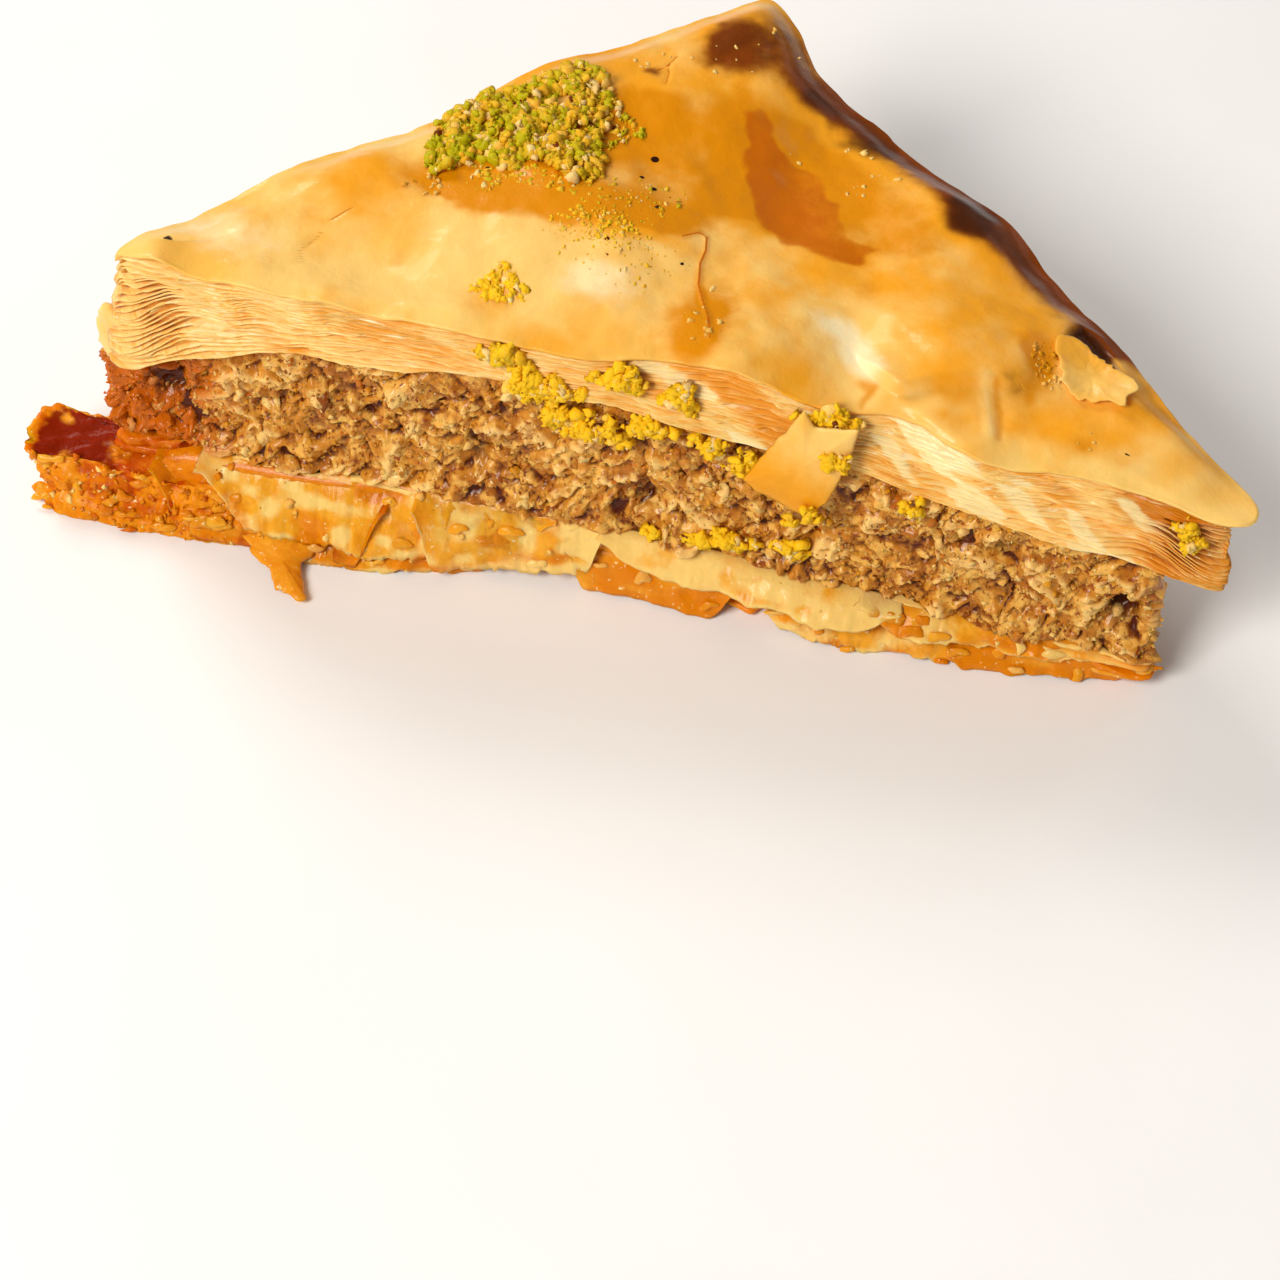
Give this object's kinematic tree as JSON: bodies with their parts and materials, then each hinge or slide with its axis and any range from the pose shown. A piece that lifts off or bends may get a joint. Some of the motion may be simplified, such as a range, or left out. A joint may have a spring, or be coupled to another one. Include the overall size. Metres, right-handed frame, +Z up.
{
  "type": "baklava piece",
  "caption": "Triangular piece of nut baklava: glazed flaky filo stack over ground nuts on a syrup-soaked filo base, strewn with ground pistachio.",
  "frame": {"origin": "centre of the bounding box in plan, on the flat underside of the filo base", "axes": "+X along the long cut side towards the lower end, +Y from the long cut side to the square corner, +Z up"},
  "size_m": [0.1076, 0.057, 0.0334],
  "materials": {
    "glazed_filo": "baked golden filo under a clear syrup glaze",
    "filo_flake": "thin translucent golden flake",
    "ground_nuts": "moist coarse ground walnut",
    "soaked_filo": "syrup-soaked amber filo, caramelised at the left corner",
    "pistachio": "finely ground pistachio"
  },
  "bodies": {
    "root": {"filo_base": "soaked_filo", "nut_filling": "ground_nuts", "filo_stack": "glazed_filo", "loose_flake": "filo_flake"}
  },
  "joints": []
}
